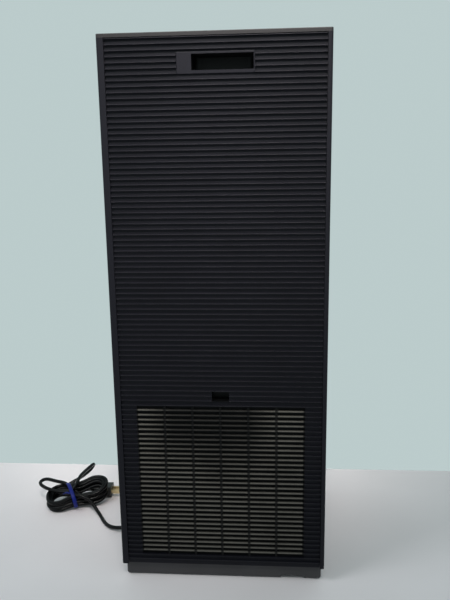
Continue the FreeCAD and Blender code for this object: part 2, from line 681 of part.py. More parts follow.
def scroll_halves():
    front, rear, wall = -d.scrollFront, d.scrollRear, d.scrollWall
    for label, span in (("scroll_front", (front, d.scrollSplit)), ("scroll_rear", (d.scrollSplit, rear))):
        is_front = label == "scroll_front"
        inner = (front + wall, d.scrollSplit + 1) if is_front else (d.scrollSplit - 1, rear - wall)
        outside = scroll_volume(f"{label}_outside", wall, span, d.scrollTop)
        inside = scroll_volume(f"{label}_inside", size(0), inner, d.scrollTop + 2)
        lug_span = (d.scrollSplit - 5, d.scrollSplit) if is_front else (d.scrollSplit, d.scrollSplit + 5)
        lugs = [rod(f"{label}_lug_{n}", "y", 5, lug_span, place) for n, place in enumerate(lug_places())]
        holes = [rod(f"{label}_hole_{n}", "y", 1.6, (lug_span[0] - 1, lug_span[1] + 1), place)
                 for n, place in enumerate(lug_places())]
        if is_front:
            opening = rod("motor_opening", "y", 30, (front - 1, front + wall + 1), (0, d.fanHeight))
            mount = [rod(f"bracket_hole_{n}", "y", 1.6, (front - 1, front + wall + 1), place)
                     for n, place in enumerate(ring_places(54, 4, 45))]
            solid = joined(f"{label}_solid", outside, *lugs)
            node(without(f"{label}_cut", solid, inside, opening, *holes, *mount), label)
        else:
            lip = tube("bell_mouth", "y", d.inletRadius + 4, d.inletRadius, (rear - 8, rear),
                       (0, d.fanHeight))
            opening = rod("inlet_opening", "y", d.inletRadius, (rear - 9, rear + 1), (0, d.fanHeight))
            solid = joined(f"{label}_solid", outside, *lugs)
            shell = without(f"{label}_shell", solid, inside, opening, *holes)
            node(joined(f"{label}_cut", shell, lip), label)


def lug_places():
    z = d.fanHeight
    return [(75, z + 75), (73, z - 79), (-89.2, z - 77.2), (106, z + 4), (-124, z + 62), (35, z + 103)]


def ring_places(radius, count, start=0.0):
    """Points round the fan's axis, in X and Z."""
    turns = [math.radians(start + 360 / count * n) for n in range(count)]
    return [(radius * math.cos(a), d.fanHeight + radius * math.sin(a)) for a in turns]


def scroll_screws():
    y = d.scrollSplit
    screws = [joined(f"scroll_screw_{n}", rod(f"scroll_shank_{n}", "y", 1.6, (y - 5.5, y + 5), place),
                     rod(f"scroll_head_{n}", "y", 2.2, (y - 7.2, y - 5), place))
              for n, place in enumerate(lug_places())]
    node(group("scroll_screw_set", screws), "scroll_screws")


def outlet_duct():
    """A tapering duct from the scroll's neck to the opening in the top."""
    low, high = d.scrollTop, d.totalHeight - 11
    wall, neck = d.ductWall, d.impellerRadius + d.scrollGap + d.scrollStep * 3 + d.scrollWall
    foot = (-neck, d.tongueX + d.scrollWall, -d.scrollFront, d.scrollRear)
    head = (-d.outletHalf - 1, d.outletHalf + 1, -d.outletFront - 1, d.outletRear + 1)
    outer = duct_wedge("duct_outer", foot, head, low, high)
    thinner = [(a + wall, b - wall, c + wall, e - wall) for a, b, c, e in (foot, head)]
    inner = duct_wedge("duct_inner", thinner[0], thinner[1], low, high)
    node(without("duct_cut", outer, inner), "outlet_duct")


def duct_wedge(label, foot, head, low, high):
    """A block that tapers from one rectangle to another; each is (x low, x high, y low, y high)."""
    wedge = doc.addObject("Part::Wedge", label)
    wedge.Placement = Placement(Vector(), Rotation(Vector(1, 0, 0), 90))
    names = (("Xmin", "Xmax", "Zmax", "Zmin"), ("X2min", "X2max", "Z2max", "Z2min"))
    for props, sides in zip(names, (foot, head)):
        for prop, value in zip(props, sides):
            bind(wedge, prop, value if prop.startswith("X") else -size(value))
    bind(wedge, "Ymin", low)
    bind(wedge, "Ymax", high)
    return wedge


def impeller():
    """Back plate and hub, curved outer blades and the inlet ring, about a local Z axis."""
    body = new_body("fan_impeller_body")
    sketch = sketch_on(body, "XZ", 0, 0)
    r, bore = d.impellerRadius, d.shaftRadius
    outline(sketch, [(bore, 0), (r, 0), (r, 2.2), (30, 2.2), (14, 14), (12, 34), (bore, 34)])
    turn = body.newObject("PartDesign::Revolution", "impeller_turn")
    turn.Profile, turn.ReferenceAxis, turn.Angle = sketch, (sketch, ["V_Axis"]), 360
    doc.recompute()
    vane = sketch_on(body, "XY", 1.5, 58)
    free_outline(vane, [[(74.5, -1.6), (82.5, 1.7), (89.6, 1.2)], [(89.6, 1.2), (89.6, 0.2)],
                        [(89.6, 0.2), (82.5, 0.6), (74.5, -2.6)], [(74.5, -2.6), (74.5, -1.6)]])
    blade_pad = pad(body, vane, 1.5, 58)
    doc.recompute()
    pattern = body.newObject("PartDesign::PolarPattern", "impeller_blades")
    pattern.Originals = [blade_pad]
    axes = {a.Role: a for a in body.Origin.OriginFeatures}
    pattern.Axis = (axes["Z_Axis"], [""])
    pattern.Angle = 360
    pattern.Occurrences = SIZES["bladeCount"]
    body.Tip = pattern
    ring = tube("impeller_ring", "z", r, r - 13, (56, 59), (0, 0))
    item = joined("fan_impeller_solid", body, ring)
    node(placed(item, "y", (0, -24, d.fanHeight)), "fan_impeller")


def motor():
    face, z = -d.motorFace, d.fanHeight
    back = face - d.motorLength
    seat = d.bearingRadius
    centre = (0, z)
    can = without("can_shell", rod("can_block", "y", d.motorRadius, (back, face - 4), centre),
                  rod("can_inside", "y", d.motorRadius - 2, (back + 2, face - 3), centre))
    boss = tube("can_boss", "y", seat + 2, seat, (back + 1, back + 9), centre)
    node(joined("motor_can", can, boss), "motor_case")
    plate = rod("cap_plate", "y", d.motorRadius, (face - 4, face), centre)
    cap_boss = rod("cap_boss", "y", seat + 2, (face - 9, face - 3), centre)
    ears = [rod(f"cap_ear_{n}", "y", 7, (face - 4, face), place)
            for n, place in enumerate(ring_places(47, 3, 90))]
    seat_hole = rod("cap_seat", "y", seat, (face - 10, face - 2), centre)
    shaft_hole = rod("cap_shaft_hole", "y", 6, (face - 3, face + 1), centre)
    bolts = [rod(f"cap_bolt_hole_{n}", "y", 2, (face - 5, face + 1), place)
             for n, place in enumerate(ring_places(47, 3, 90))]
    node(without("cap_cut", joined("cap_solid", plate, cap_boss, *ears), seat_hole, shaft_hole, *bolts),
         "motor_end_cap")
    ring = tube("stator_ring", "y", d.motorRadius - 2, 24, (back + 12, face - 12), centre)
    slots = [rod(f"stator_slot_{n}", "y", 3.4, (back + 11, face - 11), place)
             for n, place in enumerate(ring_places(31, 12))]
    node(without("stator_cut", ring, *slots), "motor_stator")
    bearings = [tube(f"bearing_{n}", "y", seat, d.shaftRadius + d.bearingPlay, (y, y + 7), centre)
                for n, y in enumerate((back + 2, face - 9))]
    node(group("bearing_pair", bearings), "motor_bearings")


def motor_mounting():
    face, front, z = -d.motorFace, -d.scrollFront, d.fanHeight
    ears, corners = ring_places(47, 3, 90), ring_places(54, 4, 45)
    plate = rod("bracket_plate", "y", 60, (front - 2, front), (0, z))
    holes = [rod("bracket_centre", "y", 20, (front - 3, front + 1), (0, z))]
    holes += [rod(f"bracket_bolt_{n}", "y", 2, (front - 3, front + 1), p) for n, p in enumerate(ears)]
    holes += [rod(f"bracket_fix_{n}", "y", 1.6, (front - 3, front + 1), p) for n, p in enumerate(corners)]
    node(without("bracket_cut", plate, *holes), "motor_bracket")
    grommets = [tube(f"grommet_{n}", "y", 6, 2, (face, front - 2), p) for n, p in enumerate(ears)]
    node(group("grommet_set", grommets), "motor_grommets")
    long_screws = [joined(f"motor_screw_{n}", rod(f"motor_shank_{n}", "y", 2, (face - 4.5, front), p),
                          rod(f"motor_head_{n}", "y", 4, (face - 7, face - 4), p))
                   for n, p in enumerate(ears)]
    short_screws = [joined(f"bracket_screw_{n}",
                           rod(f"bracket_shank_{n}", "y", 1.6, (front - 2.5, front + d.scrollWall), p),
                           rod(f"bracket_head_{n}", "y", 3, (front - 4, front - 2), p))
                    for n, p in enumerate(corners)]
    node(group("motor_screw_set", long_screws + short_screws), "motor_screws")


def rotating_parts():
    face, z = -d.motorFace, d.fanHeight
    back = face - d.motorLength
    node(rod("shaft_bar", "y", d.shaftRadius, (back + 2.5, 20), (0, z)), "motor_shaft")
    node(tube("rotor_ring", "y", 23.4, d.shaftRadius, (back + 13, face - 13), (0, z)), "motor_rotor")
    nut = doc.addObject("Part::Prism", "nut_prism")
    nut.Polygon, nut.Circumradius, nut.Height = 6, 7.5, 6
    placed(nut, "y", (0, 10, z))
    node(without("nut_cut", nut, rod("nut_bore", "y", d.shaftRadius, (9, 17), (0, z))), "impeller_nut")


# ---- air outlet -----------------------------------------------------------------------------

def outlet_grille():
    low, high = d.totalHeight - 11, d.totalHeight - d.topThickness
    x, y0, y1 = d.outletHalf + 3, -d.outletFront - 3, d.outletRear + 3
    ring = without("grille_ring", box("grille_block", (-x, x), (y0, y1), (low, high)),
                   box("grille_inside", (3 - x, x - 3), (y0 + 3, y1 - 3), (low - 1, high + 1)))
    slats = [box(f"grille_slat_{n}", (-93.6 + 12.48 * n - 0.8, -93.6 + 12.48 * n + 0.8), (y0 + 2.5, y1 - 2.5),
                 (low, low + 4)) for n in range(16)]
    bars = [box(f"grille_bar_{n}", (2.5 - x, x - 2.5), (y - 1, y + 1), (low, low + 4))
            for n, y in enumerate((14, 50))]
    notch = box("grille_notch", (-13, 13), (y0 - 1, y0 + 8), (low + 3, high + 1))
    node(without("grille_cut", joined("grille", ring, *slats, *bars), notch), "outlet_grille")


def outlet_flap():
    top, gap = d.totalHeight - 0.4, d.flapGap
    x, y0, y1 = d.outletHalf - gap, gap - d.outletFront, d.flapAxisY + 3
    plate = box("flap_plate", (-x, x), (y0, y1), (top - d.flapThickness, top))
    plate = rounded("flap_eased", plate, 0.8, lambda e: e.BoundBox.ZMin > top.value - 0.1)
    axis = (d.flapAxisY, d.totalHeight - d.flapAxisDrop)
    bores = [rod(f"flap_bore_{n}", "x", d.pinRadius, span, axis)
             for n, span in enumerate(((-x - 1, 8 - x), (x - 8, x + 1)))]
    node(without("flap_cut", plate, *bores), "outlet_flap")
    pins = [rod(f"flap_pin_{n}", "x", d.pinRadius, span, axis)
            for n, span in enumerate(((-d.outletHalf - 3.5, 8 - x), (x - 8, d.outletHalf + 3.5)))]
    node(group("pin_pair", pins), "flap_pins")


# ---- controls and electronics ---------------------------------------------------------------

def buttons():
    names = ("power_button", "speed_button", "mode_button", "timer_button")
    low, high, r = d.totalHeight - d.topThickness, d.totalHeight - 0.4, d.buttonRadius
    for name, x in zip(names, button_places()):
        rise = high - low + 3.1
        profile = [(0, 0), (2.5, 0), (2.5, 2.4), (r + 1.5, 2.4), (r + 1.5, 3.6), (r, 3.6), (r, rise),
                   (r - 0.8, rise + 0.8), (0, rise + 0.8)]
        cap = revolved(f"{name}_cap", profile)
        node(placed(cap, "z", (x, -d.buttonY, low - 3.9)), name)


def control_board():
    top = d.totalHeight - d.topThickness - 12.9
    plate = box("control_plate", (-94, 94), (-119, -74), (top - 1.6, top))
    holes = [rod(f"control_hole_{n}", "z", 1.25, (top - 3, top + 1), place)
             for n, place in enumerate(board_places())]
    switches = [joined(f"switch_{n}",
                       box(f"switch_body_{n}", (x - 3, x + 3), (-103, -97), (top - 0.5, top + 7)),
                       rod(f"switch_stem_{n}", "z", 1.5, (top + 6.5, top + 8), (x, -d.buttonY)))
                for n, x in enumerate(button_places())]
    leds = [rod(f"led_{n}", "z", 2, (top - 0.5, top + 6), (-45 + 15 * n, -d.lensY)) for n in range(7)]
    chip = box("control_chip", (-8, 8), (-94, -84), (top - 0.5, top + 1.6))
    node(joined("control", without("control_cut", plate, *holes), *switches, *leds, chip), "control_board")
    screws = [joined(f"board_screw_{n}", rod(f"board_shank_{n}", "z", 1.25, (top - 2, top + 7), place),
                     rod(f"board_head_{n}", "z", 2.6, (top - 3.4, top - 1.6), place))
              for n, place in enumerate(board_places())]
    node(group("board_screw_set", screws), "board_screws")


def power_supply():
    y = -d.bulkheadY
    plate = box("power_plate", (-92, 92), (y - 5.6, y - 4), (62, 188))
    posts = [rod(f"power_post_{n}", "y", 3, (y - 4, y), (px, pz)) for n, (px, pz) in
             enumerate((a, b) for a in (-84, 84) for b in (70, 180))]
    coils = [box("power_transformer", (-30, 6), (y - 27, y - 5), (90, 122)),
             box("power_relay", (40, 62), (y - 20, y - 5), (84, 100)),
             box("power_heatsink", (-76, -70), (y - 26, y - 5), (80, 140)),
             box("power_terminal", (50, 80), (y - 18, y - 5), (150, 164))]
    cans = [rod(f"power_can_{n}", "y", 8, (y - 29, y - 5), (px, 155)) for n, px in enumerate((-40, -18, 6))]
    node(joined("power", plate, *posts, *coils, *cans), "power_board")
    cover = without("power_cover_shell", box("power_cover_block", (-98, 98), (y - 32, y), (56, 194)),
                    box("power_cover_inside", (-97, 97), (y - 31, y + 1), (57, 193)))
    node(cover, "power_cover")


def front_bulkhead():
    y = -d.bulkheadY
    plate = box("bulkhead_plate", (-INNER_X, INNER_X), (y, y + 2), (24, 668))
    flanges = [box(f"bulkhead_flange_{n}", x, (y, y + 12), (34, 668))
               for n, x in enumerate(((-INNER_X, 2 - INNER_X), (INNER_X - 2, INNER_X)))]
    slot = box("bulkhead_slot", (66, 90), (y - 1, y + 3), (206, 220))
    posts = [rod(f"bulkhead_post_{n}", "y", 5, (y + 1.5, -d.scrollFront), (x, z))
             for n, (x, z) in enumerate(((-80, 300), (74, 304), (-95, 450), (84, 424)))]
    node(joined("bulkhead", without("bulkhead_cut", plate, slot), *flanges, *posts), "front_bulkhead")


def sensors():
    node(joined("dust_unit", box("dust_body", (108, 128), (-64, -28), (586, 628)),
                rod("dust_port", "x", 6, (127, 130), (-46, 607))), "dust_sensor")
    node(without("sensor_mesh", box("sensor_mesh_block", (130, INNER_X), (-62, -30), (590, 622)),
                 *[rod(f"sensor_mesh_hole_{i}_{j}", "x", 1.6, (129, 133), (-56 + 5 * i, 595 + 5.5 * j))
                   for i in range(5) for j in range(5)]), "sensor_screen")
    node(joined("ioniser", box("ioniser_case", (-45, 25), (2 - d.bulkheadY, 26 - d.bulkheadY), (202, 226)),
                cone("ioniser_tip_a", "y", (2, 0.5), (25.5 - d.bulkheadY, 34 - d.bulkheadY), (-30, 214)),
                cone("ioniser_tip_b", "y", (2, 0.5), (25.5 - d.bulkheadY, 34 - d.bulkheadY), (10, 214))),
         "ioniser_unit")
    node(joined("interlock", box("interlock_case", (56, 76), (100, 110), (251.7, 262)),
                box("interlock_lever", (58, 74), (110, 111), (253, 255))), "interlock_switch")


def cord_clamp():
    x = (HALF_W - d.plinthSideInset - d.plinthWall).value
    low = (d.exitY - 11, d.exitY + 11)
    block = box("clamp_block", (x - 26, x - 14), low, (d.exitZ - 5, d.plinthTop - d.plinthWall))
    bore = rod("clamp_bore", "x", d.cordRadius + 0.2, (x - 27, x - 13), (d.exitY, d.exitZ))
    node(without("clamp_cut", block, bore), "cord_clamp")


# ---- mains cord -----------------------------------------------------------------------------

def cord_relief():
    """A tapered sleeve with three grooves, gripped in the plinth's wall."""
    wall, r = d.plinthWall, d.cordRadius
    collar = wall + 3
    end = collar + d.reliefLength
    profile = [(0, -2), (6.5, -2), (6.5, 0), (4.5, 0), (4.5, wall), (6.4, wall), (6.4, collar), (5.8, collar)]
    for n in range(3):
        at = collar + 4 + 5 * n
        wide = 5.7 - 0.35 * n
        profile += [(wide, at), (wide - 1, at), (wide - 1, at + 1.6), (wide - 0.1, at + 1.6)]
    profile += [(r + 0.7, end), (0, end)]
    sleeve = revolved("relief_sleeve", profile)
    inner = HALF_W - d.plinthSideInset - wall
    node(placed(sleeve, "x", (inner, d.exitY, d.exitZ)), "cord_relief")


def arcs_through(points):
    """Straight runs joined by tangent arcs, each as large as its two runs allow."""
    points = [Vector(*p) for p in points]
    edges, radii, at = [], [], points[0]
    for before, corner, after in zip(points, points[1:], points[2:]):
        run_in, run_out = corner - before, after - corner
        turn = run_in.getAngle(run_out)
        reach = 0.45 * min(run_in.Length, run_out.Length)
        radii.append(reach / math.tan(turn / 2))
        a = corner - run_in.normalize() * reach
        b = corner + run_out.normalize() * reach
        inward = (a + b) * 0.5 - corner
        centre = corner + inward.normalize() * (radii[-1] / math.cos(turn / 2))
        middle = centre + (corner - centre).normalize() * radii[-1]
        edges += [Part.LineSegment(at, a).toShape(), Part.Arc(a, middle, b).toShape()]
        at = b
    edges.append(Part.LineSegment(at, points[-1]).toShape())
    return Part.Wire(edges), radii


def swept(label, points, radius):
    """A round tube of one radius through the points; also gives its centre line and its arcs' radii."""
    wire, radii = arcs_through(points)
    start = Vector(*points[0])
    section = Part.Wire(Part.Circle(start, Vector(*points[1]) - start, radius).toShape())
    tube_ = doc.addObject("Part::Feature", label)
    tube_.Shape = wire.makePipeShell([section], True, True)
    return tube_, wire, radii


def cord_lead():
    lead, wire, radii = swept("lead", CORD_ROUTE, d.cordRadius.value)
    expected = math.pi * d.cordRadius.value ** 2 * wire.Length
    print(f"cord_lead: length {wire.Length:.1f}, radii {[round(r, 1) for r in radii]}")
    print(f"cord_lead: volume {lead.Shape.Volume:.0f}, section times length {expected:.0f}")
    node(lead, "cord_lead")


def on_hank(along, across, z):
    """A point of the hank's own frame, whose first axis runs down its length."""
    return HANK_CENTRE + Rotation(Vector(0, 0, 1), HANK_TURN).multVec(Vector(along, across, z))


def hank_section(along, across, z, half_width, half_height):
    centre = on_hank(along, across, z)
    side, top = on_hank(along, across + half_width, z), on_hank(along, across, z + half_height)
    return Part.Wire(Part.Ellipse(side, top, centre).toShape())


def hank_box(label, along, across, z):
    part = box(label, (0, along[1] - along[0]), (0, across[1] - across[0]), (0, z[1] - z[0]))
    part.Placement = Placement(Vector(), Rotation(Vector(0, 0, 1), HANK_TURN))
    for name, value in zip("xyz", on_hank(along[0], across[0], z[0])):
        bind(part, f"Placement.Base.{name}", value)
    return part


def cord_hank():
    """The outer shape of the wound cord, with its eye, its two loose loops and the lead's way in."""
    r = SIZES["cordRadius"]
    wound = doc.addObject("Part::Feature", "hank_wound")
    wound.Shape = Part.makeLoft([hank_section(*s) for s in HANK_SECTIONS], True, True)
    last = Vector(*CORD_ROUTE[-1])
    ahead = last - Vector(*CORD_ROUTE[-2])
    lead_in = doc.addObject("Part::Cylinder", "lead_in")
    lead_in.Radius, lead_in.Height = r, ahead.Length * 1.8
    lead_in.Placement = Placement(last, Rotation(Vector(0, 0, 1), ahead))
    loose = [swept("stray_loop", [on_hank(*p) for p in STRAY_LOOP], r)[0],
             swept("loop_end", [on_hank(*p) for p in LOOP_END], r + 1.4)[0], lead_in]
    eye = hank_box("hank_eye", (22, 42), (-6, 12), (-1, 60))
    plug_room = box("plug_room", (190, PLUG["x"][1]), (PLUG["y"][0] - 1, PLUG["y"][1] + 1),
                    (-1, PLUG["z"][1] + 1))
    node(without("hank", joined("hank_solid", wound, *loose), eye, plug_room), "cord_hank")


def cord_tie():
    """An oval band round the hank's waist."""
    along, across, z, half_width, half_height = HANK_SECTIONS[5]
    down_hank = on_hank(SIZES["tieWidth"], 0, 0) - on_hank(0, 0, 0)
    inner, outer = [Part.Face(hank_section(along, across, z, half_width + grow, half_height + grow))
                    for grow in (0.05, 1.15)]
    band = doc.addObject("Part::Feature", "tie_band")
    band.Shape = outer.extrude(down_hank).cut(inner.extrude(down_hank))
    node(band, "cord_tie")


def plug():
    x, y, z = PLUG["x"], PLUG["y"], PLUG["z"]
    body = box("plug_block", x, y, z)
    body = rounded("plug_rounded", body, 4, lambda e: runs_along(e, Vector(1, 0, 0)))
    node(body, "plug_body")
    middle, height = sum(y) / 2, sum(z) / 2
    blades = [box(f"plug_blade_{n}", (x[0] - 17.5, x[0]), (middle + s - 0.75, middle + s + 0.75),
                  (height - 3.15, height + 3.15)) for n, s in enumerate((-6.35, 6.35))]
    node(group("blade_pair", blades), "plug_blades")


# ---- build, check and write -----------------------------------------------------------------

def build():
    for make in (base_plinth, foot_pads, floor_pan, plinth_screws, side_panels, front_panel, rear_panel,
                 handle_cup, top_cover, indicator_lens, rear_cover, pre_filter, filter_housing, filter_gasket,
                 cover_sockets, hepa_frame, hepa_pleats, carbon_sheet, filter_tabs, scroll_halves,
                 scroll_screws, outlet_duct, impeller, motor, motor_mounting, rotating_parts, outlet_grille,
                 outlet_flap, buttons, control_board, power_supply, front_bulkhead, sensors, cord_clamp,
                 cord_relief, cord_lead, cord_hank, cord_tie, plug):
        make()
    doc.recompute()


def check():
    failed = [item.Label for item in doc.Objects if {"Invalid", "Error"} & set(item.State)]
    failed += [item.Label for item in nodes if item.Shape.isNull() or not item.Shape.isValid()]
    if failed:
        raise RuntimeError(f"failed objects: {failed}")


def write():
    os.makedirs("parts", exist_ok=True)
    for item in nodes:
        item.Shape.exportStep(f"parts/{item.Label}.step")
        solids = len(item.Shape.Solids)
        print(f"{item.Label}: {solids} solid{'s' if solids != 1 else ''}, {item.Shape.Volume / 1000:.2f} cm3")


build()
check()
write()
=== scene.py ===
import math

import bmesh
import bpy
from mathutils import Matrix, Vector


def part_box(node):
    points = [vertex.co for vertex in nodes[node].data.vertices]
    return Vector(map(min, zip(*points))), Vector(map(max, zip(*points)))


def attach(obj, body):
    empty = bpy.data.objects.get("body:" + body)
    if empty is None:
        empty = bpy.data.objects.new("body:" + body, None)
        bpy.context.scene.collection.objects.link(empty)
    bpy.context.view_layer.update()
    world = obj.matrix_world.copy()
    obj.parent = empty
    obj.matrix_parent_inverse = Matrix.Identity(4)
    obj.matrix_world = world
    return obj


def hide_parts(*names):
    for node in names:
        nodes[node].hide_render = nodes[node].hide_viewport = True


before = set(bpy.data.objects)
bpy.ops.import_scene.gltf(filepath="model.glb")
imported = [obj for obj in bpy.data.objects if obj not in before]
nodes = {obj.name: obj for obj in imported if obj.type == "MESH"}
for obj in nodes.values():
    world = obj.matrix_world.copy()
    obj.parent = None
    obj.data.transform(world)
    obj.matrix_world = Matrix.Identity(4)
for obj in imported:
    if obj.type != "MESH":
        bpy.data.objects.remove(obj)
scene = bpy.context.scene


def write_sizes():
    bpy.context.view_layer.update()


write_sizes()


# ---- materials ------------------------------------------------------------------------------

MOTTLE_SCALE = 22


def finish(name, colour, roughness, metallic=0.0, grain=0.0, grain_size=0.002, mottle=0.0, coat=0.0,
           specular=0.5):
    """A plain surface with an optional fine grain and a slight variation in colour."""
    material = bpy.data.materials.new(name)
    material.use_nodes = True
    tree = material.node_tree
    surface = tree.nodes["Principled BSDF"]
    surface.inputs["Base Color"].default_value = (*colour, 1)
    surface.inputs["Roughness"].default_value = roughness
    surface.inputs["Metallic"].default_value = metallic
    surface.inputs["Coat Weight"].default_value = coat
    surface.inputs["Specular IOR Level"].default_value = specular
    if not (grain or mottle):
        return material
    place = tree.nodes.new("ShaderNodeTexCoord")
    if grain:
        noise = tree.nodes.new("ShaderNodeTexNoise")
        noise.inputs["Scale"].default_value = 1 / grain_size
        noise.inputs["Detail"].default_value = 3
        bump = tree.nodes.new("ShaderNodeBump")
        bump.inputs["Strength"].default_value = grain
        bump.inputs["Distance"].default_value = grain_size * 0.15
        tree.links.new(place.outputs["Object"], noise.inputs["Vector"])
        tree.links.new(noise.outputs["Fac"], bump.inputs["Height"])
        tree.links.new(bump.outputs["Normal"], surface.inputs["Normal"])
    if mottle:
        cloud = tree.nodes.new("ShaderNodeTexNoise")
        cloud.inputs["Scale"].default_value = MOTTLE_SCALE
        cloud.inputs["Detail"].default_value = 5
        ramp = tree.nodes.new("ShaderNodeValToRGB")
        ramp.color_ramp.elements[0].position, ramp.color_ramp.elements[1].position = 0.3, 0.7
        ramp.color_ramp.elements[0].color = (*(c * (1 - mottle) for c in colour), 1)
        ramp.color_ramp.elements[1].color = (*(c * (1 + mottle) for c in colour), 1)
        tree.links.new(place.outputs["Object"], cloud.inputs["Vector"])
        tree.links.new(cloud.outputs["Fac"], ramp.inputs["Fac"])
        tree.links.new(ramp.outputs["Color"], surface.inputs["Base Color"])
    return material


BLADE_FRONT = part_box("rear_cover")[1][1]
# Painted shade between the blades: the colour is near black this far behind the blades' front and fades up to
# the dusty grey-brown over the next distance.
SHADE_DEPTH = 0.0045
SHADE_FADE = 0.0035
# Where the painted shadow strips at the bars lie.
BAR_PITCH = 0.0357
BAR_OFFSET = 0.0005
BAR_HALF = 0.0012
PATCH_MIDDLE = 0.012
PATCH_HALF = 0.085
PATCH_LOW = 0.155
# The bare blade colour, darker than the shell, so that it also stands as painted shade deep between the
# blades and at the bars.
BARE_AND_SHADED_BLADE = (0.0035, 0.0036, 0.004, 1)
DUSTY_BLADE = (0.095, 0.088, 0.078, 1)


def dusty_blade():
    """The intake blades: dusty grey-brown on their front edges, with painted shade behind.

    The grey-brown fades to near black a few millimetres behind the blades' front; that near black is painted
    shade between the blades. The grey-brown is thinner in a patch in the upper middle of the window, and at
    each bar a narrow painted shadow darkens the blades.
    """
    material = finish("blade", (0.1, 0.095, 0.085), 0.7, specular=0.15)
    tree = material.node_tree
    surface = tree.nodes["Principled BSDF"]

    def math_node(operation, first, second, clamp=False):
        node = tree.nodes.new("ShaderNodeMath")
        node.operation, node.use_clamp = operation, clamp
        for slot, value in zip(node.inputs, (first, second)):
            if isinstance(value, (int, float)):
                slot.default_value = value
            else:
                tree.links.new(value, slot)
        return node.outputs["Value"]

    def times(first, second, clamp=False):
        return math_node("MULTIPLY", first, second, clamp)

    def plus(first, second, clamp=False):
        return math_node("ADD", first, second, clamp)

    def minus(first, second):
        return math_node("SUBTRACT", first, second)

    def noise(scale, detail):
        node = tree.nodes.new("ShaderNodeTexNoise")
        node.inputs["Scale"].default_value, node.inputs["Detail"].default_value = scale, detail
        tree.links.new(place.outputs["Object"], node.inputs["Vector"])
        return node.outputs["Fac"]

    place = tree.nodes.new("ShaderNodeTexCoord")
    split = tree.nodes.new("ShaderNodeSeparateXYZ")
    tree.links.new(place.outputs["Object"], split.inputs["Vector"])
    across, depth, height = split.outputs

    # Painted shade: zero (near black) deep between the blades, rising to one near their front.
    front = times(minus(depth, BLADE_FRONT - SHADE_DEPTH), 1 / SHADE_FADE, True)
    off_middle = math_node("ABSOLUTE", minus(across, PATCH_MIDDLE), 0)
    in_middle = times(minus(PATCH_HALF, off_middle), 28, True)
    clear_patch = times(times(minus(height, PATCH_LOW), 18, True), in_middle)
    clouds = times(minus(noise(9, 2), 0.30), 2.6, True)
    grit = plus(times(noise(420, 3), 0.7), 0.62)
    # Painted shadow: the blades darken to near black in a narrow strip in front of each bar.
    to_bar = math_node("PINGPONG", plus(across, BAR_OFFSET + BAR_PITCH * 3), BAR_PITCH / 2)
    off_bar = plus(times(minus(to_bar, BAR_HALF), 900, True), 0.08, True)
    dust_and_shade = times(minus(1, times(clear_patch, 0.8)), grit)
    # From here the amount of grey-brown also carries the painted shadow at the bars.
    dust_and_shade = times(times(dust_and_shade, plus(clouds, 0.35, True)), off_bar)

    mix = tree.nodes.new("ShaderNodeValToRGB")
    mix.color_ramp.elements[0].color = BARE_AND_SHADED_BLADE
    mix.color_ramp.elements[1].color = DUSTY_BLADE
    tree.links.new(times(dust_and_shade, front, True), mix.inputs["Fac"])
    tree.links.new(mix.outputs["Color"], surface.inputs["Base Color"])
    return material


LOOKS = {
    "shell": finish("shell", (0.0074, 0.0073, 0.0108), 0.50, grain=0.25, grain_size=0.0007, mottle=0.08,
                    specular=0.14),
    "cap": finish("cap", (0.0185, 0.0170, 0.0185), 0.46, grain=0.25, grain_size=0.0007, mottle=0.06,
                  specular=0.3),
    "blade": dusty_blade(),
    # Painted shade: a near-black copy of the shell for the insides of the handle cup and the finger recess.
    "shaded_hollow": finish("shaded_hollow", (0.0030, 0.0030, 0.0034), 0.42, grain=0.1, grain_size=0.001, specular=0.2),
    "plinth": finish("plinth", (0.050, 0.047, 0.050), 0.6, grain=0.25, grain_size=0.0009, mottle=0.08,
                     specular=0.25),
    "inner": finish("inner", (0.010, 0.010, 0.011), 0.6, grain=0.15, grain_size=0.001, specular=0.3),
    "fan": finish("fan", (0.030, 0.032, 0.035), 0.45, grain=0.1, grain_size=0.001),
    "card": finish("card", (0.56, 0.57, 0.55), 0.8, grain=0.2, grain_size=0.002, mottle=0.05),
    "fleece": finish("fleece", (0.76, 0.76, 0.72), 0.95, grain=0.4, grain_size=0.0012, mottle=0.05),
    "carbon": finish("carbon", (0.008, 0.008, 0.009), 0.85, grain=0.8, grain_size=0.003, mottle=0.3),
    "ribbon": finish("ribbon", (0.10, 0.26, 0.50), 0.7, grain=0.3, grain_size=0.001),
    "foam": finish("foam", (0.018, 0.018, 0.019), 0.95, grain=0.6, grain_size=0.0015, mottle=0.2),
    "rubber": finish("rubber", (0.010, 0.010, 0.011), 0.7, grain=0.1, grain_size=0.001),
    "steel": finish("steel", (0.55, 0.56, 0.58), 0.3, metallic=1.0, grain=0.05, grain_size=0.0006),
    "alloy": finish("alloy", (0.60, 0.61, 0.62), 0.45, metallic=1.0, grain=0.2, grain_size=0.001),
    "painted": finish("painted", (0.022, 0.024, 0.026), 0.4, grain=0.08, grain_size=0.001),
    "board": finish("board", (0.006, 0.075, 0.032), 0.35, coat=0.4, mottle=0.15),
    "button": finish("button", (0.026, 0.026, 0.029), 0.38, grain=0.1, grain_size=0.0008),
    "lens": finish("lens", (0.006, 0.006, 0.007), 0.08, coat=0.6, mottle=0.1),
    "cord": finish("cord", (0.0022, 0.0021, 0.0026), 0.27, grain=0.10, grain_size=0.002, specular=0.16,
                   mottle=0.1),
    "plug": finish("plug", (0.0075, 0.0072, 0.0078), 0.35, grain=0.12, grain_size=0.001, specular=0.3),
    "tie": finish("tie", (0.004, 0.012, 0.165), 0.45, grain=0.3, grain_size=0.0008, mottle=0.12,
                  specular=0.2),
    "brass": finish("brass", (0.72, 0.58, 0.32), 0.30, metallic=1.0, grain=0.05, grain_size=0.0006),
}

